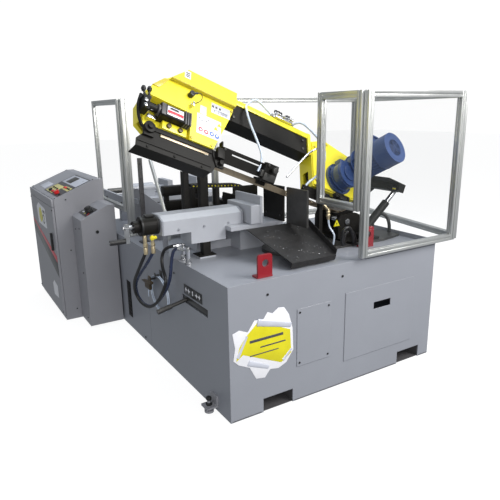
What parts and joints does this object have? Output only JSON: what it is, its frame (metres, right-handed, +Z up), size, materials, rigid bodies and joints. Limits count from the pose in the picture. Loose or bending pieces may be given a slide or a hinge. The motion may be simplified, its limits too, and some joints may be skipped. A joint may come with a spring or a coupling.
{
  "type": "horizontal band saw",
  "caption": "Horizontal band saw with a pivoting yellow bow on a grey base, vise, outfeed chute, clear guards, infeed rails and a control cabinet.",
  "frame": {"origin": "centre of the machine's footprint, on the floor", "axes": "+Z up; the operator stands at -Y and the stock is fed from +Y towards -Y; +X is the bow's drive end"},
  "size_m": [2.3221, 2.8865, 1.794],
  "materials": {
    "grey_paint": "smooth satin grey powder coat",
    "light_grey_paint": "light blue-grey satin paint",
    "black_paint": "satin black paint",
    "dark_steel": "dark machined iron",
    "chute_coat": "rough textured dark grey-black coat",
    "bright_steel": "ground bright steel",
    "blade_steel": "brushed band steel, faintly tan",
    "yellow_paint": "glossy bright yellow paint",
    "blue_paint": "satin deep blue paint",
    "red_paint": "satin crimson paint",
    "aluminium_profile": "anodised aluminium profile with clear plastic panes",
    "rubber": "smooth black hose rubber",
    "clear_hose": "translucent blue-white plastic tube",
    "gun_metal": "dark bronzed metal",
    "black_plastic": "matte black plastic",
    "red_plastic": "glossy red plastic"
  },
  "bodies": {
    "base": {"base_cabinet": "grey_paint", "access_panel": "grey_paint", "rear_base": "grey_paint", "levelling_foot": "black_paint", "lifting_lug_front": "red_paint", "lifting_lug_rear": "red_paint", "cutting_table": "light_grey_paint", "fixed_jaw_rear": "black_paint", "vise_body": "light_grey_paint", "vise_cylinder": "black_paint", "hydraulic_hose_1": "rubber", "hydraulic_hose_2": "rubber", "air_hose_coil": "clear_hose", "air_gun": "gun_metal", "guard_front": "aluminium_profile", "guard_rear": "aluminium_profile", "guard_post": "aluminium_profile", "guard_infeed": "aluminium_profile", "control_cabinet": "grey_paint", "side_box": "grey_paint", "infeed_frame": "light_grey_paint"},
    "drawer": {"chip_drawer": "grey_paint"},
    "clamp_lever": {"mitre_lever": "dark_steel"},
    "turntable": {"turntable": "dark_steel", "outfeed_chute": "chute_coat", "pivot_bracket": "black_paint", "pivot_pin": "bright_steel", "power_conduit": "rubber"},
    "vise_jaw": {"vise_jaw": "light_grey_paint"},
    "vise_crank": {"vise_crank": "bright_steel"},
    "crank_grip": {"crank_grip": "black_plastic"},
    "bow": {"saw_blade": "blade_steel", "idler_housing": "yellow_paint", "tension_unit": "black_paint", "bow_beam": "black_paint", "drive_housing": "yellow_paint", "drive_cover": "yellow_paint", "gear_case": "blue_paint", "motor": "blue_paint", "lift_arm": "black_paint", "blade_guard": "black_paint", "guide_arm_fixed": "black_paint"},
    "idler_cover": {"idler_cover": "yellow_paint"},
    "tension_slide": {"tension_slide": "dark_steel"},
    "idler_wheel": {"idler_wheel": "dark_steel"},
    "drive_wheel": {"drive_wheel": "dark_steel"},
    "motor_fan": {"motor_fan": "dark_steel"},
    "guide_arm": {"guide_arm_moving": "black_paint"},
    "lift_barrel": {"lift_barrel": "black_paint"},
    "lift_rod": {"lift_rod": "bright_steel"},
    "cabinet_door": {"cabinet_door": "grey_paint"},
    "door_handle": {"door_handle": "black_plastic"},
    "emergency_stop": {"emergency_stop": "red_plastic"},
    "start_button": {"start_button": "black_plastic"},
    "stop_button": {"stop_button": "red_plastic"},
    "mode_selector": {"mode_selector": "black_plastic"},
    "flow_knob": {"flow_knob": "black_plastic"},
    "roller_1": {"infeed_roller_1": "dark_steel"},
    "roller_2": {"infeed_roller_2": "dark_steel"},
    "feed_carriage": {"feed_carriage": "light_grey_paint"}
  },
  "joints": [
    {"name": "mitre", "type": "hinge", "parent": "base", "child": "turntable", "pos_m": [-0.101, -0.98675, 0.755], "axis": [0, 0, 1], "range_deg": [0, 30]},
    {"name": "bow_lift", "type": "hinge", "parent": "turntable", "child": "bow", "pos_m": [0.359, -0.98675, 0.88], "axis": [0, 1, 0], "range_deg": [-22, 10]},
    {"name": "blade_tension", "type": "slide", "parent": "bow", "child": "tension_slide", "axis": [0.9272, 0, -0.3746], "range_m": [0, 0.006]},
    {"name": "idler_spin", "type": "hinge", "parent": "tension_slide", "child": "idler_wheel", "pos_m": [-0.7209, -0.88875, 1.53572], "axis": [0.1873, -0.866, 0.4636], "continuous": true},
    {"name": "drive_spin", "type": "hinge", "parent": "bow", "child": "drive_wheel", "pos_m": [0.33146, -0.88875, 1.11055], "axis": [0.1873, -0.866, 0.4636], "continuous": true},
    {"name": "fan_spin", "type": "hinge", "parent": "bow", "child": "motor_fan", "pos_m": [0.48921, -1.01946, 1.23406], "axis": [0.1873, -0.866, 0.4636], "continuous": true},
    {"name": "guide_slide", "type": "slide", "parent": "bow", "child": "guide_arm", "axis": [0.9272, 0, -0.3746], "range_m": [-0.22, 0.01]},
    {"name": "idler_cover_hinge", "type": "hinge", "parent": "bow", "child": "idler_cover", "pos_m": [-0.5067, -0.78179, 1.70551], "axis": [-0.9272, 0, 0.3746], "range_deg": [0, 100]},
    {"name": "lift_swing", "type": "hinge", "parent": "turntable", "child": "lift_barrel", "pos_m": [0.399, -1.10675, 0.79], "axis": [0, 1, 0], "range_deg": [-20.2, 9.3]},
    {"name": "lift_stroke", "type": "slide", "parent": "lift_barrel", "child": "lift_rod", "axis": [0.7489, 0, 0.6627], "range_m": [-0.016, 0.035]},
    {"name": "vise_clamp", "type": "slide", "parent": "base", "child": "vise_jaw", "axis": [1, 0, 0], "range_m": [-0.01, 0.125]},
    {"name": "crank_turn", "type": "hinge", "parent": "base", "child": "vise_crank", "pos_m": [-0.9814, -0.78675, 0.969], "axis": [1, 0, 0], "continuous": true},
    {"name": "grip_spin", "type": "hinge", "parent": "vise_crank", "child": "crank_grip", "pos_m": [-1.071, -0.78675, 0.899], "axis": [1, 0, 0], "continuous": true},
    {"name": "drawer_slide", "type": "slide", "parent": "base", "child": "drawer", "axis": [0, -1, 0], "range_m": [0, 0.45]},
    {"name": "mitre_clamp", "type": "hinge", "parent": "base", "child": "clamp_lever", "pos_m": [-0.671, -0.90675, 0.55], "axis": [0, 0, 1], "range_deg": [0, 40]},
    {"name": "cabinet_door_hinge", "type": "hinge", "parent": "base", "child": "cabinet_door", "pos_m": [-1.145, 1.43775, 0.47], "axis": [0, 0, -1], "range_deg": [0, 110]},
    {"name": "door_handle_turn", "type": "hinge", "parent": "cabinet_door", "child": "door_handle", "pos_m": [-1.1455, 0.65125, 0.62], "axis": [1, 0, 0], "range_deg": [0, 90]},
    {"name": "emergency_stop_press", "type": "slide", "parent": "base", "child": "emergency_stop", "axis": [0.3719, 0, -0.9283], "range_m": [0, 0.004], "stiffness_N_per_m": 1500},
    {"name": "start_press", "type": "slide", "parent": "base", "child": "start_button", "axis": [0.3719, 0, -0.9283], "range_m": [0, 0.003], "stiffness_N_per_m": 800},
    {"name": "stop_press", "type": "slide", "parent": "base", "child": "stop_button", "axis": [0.3719, 0, -0.9283], "range_m": [0, 0.003], "stiffness_N_per_m": 800},
    {"name": "mode_select", "type": "hinge", "parent": "base", "child": "mode_selector", "pos_m": [-1.07354, 0.88225, 0.99188], "axis": [-0.3719, 0, 0.9283], "range_deg": [-45, 45]},
    {"name": "flow_turn", "type": "hinge", "parent": "base", "child": "flow_knob", "pos_m": [-0.91652, 0.35325, 0.87258], "axis": [-0.4258, 0, 0.9048], "range_deg": [0, 270]},
    {"name": "roller_1_spin", "type": "hinge", "parent": "base", "child": "roller_1", "pos_m": [-0.241, -0.04675, 0.9], "axis": [1, 0, 0], "continuous": true},
    {"name": "roller_2_spin", "type": "hinge", "parent": "base", "child": "roller_2", "pos_m": [-0.241, 1.14325, 0.9], "axis": [1, 0, 0], "continuous": true},
    {"name": "feed_slide", "type": "slide", "parent": "base", "child": "feed_carriage", "axis": [0, 1, 0], "range_m": [-0.2, 0.5]}
  ],
  "couplings": [
    {"joint": "idler_spin", "follows": "drive_spin", "ratio": 1},
    {"joint": "fan_spin", "follows": "drive_spin", "ratio": -20},
    {"joint": "lift_swing", "follows": "bow_lift", "ratio": 0.912},
    {"joint": "lift_stroke", "follows": "bow_lift", "m_per_rad": -0.08975}
  ]
}
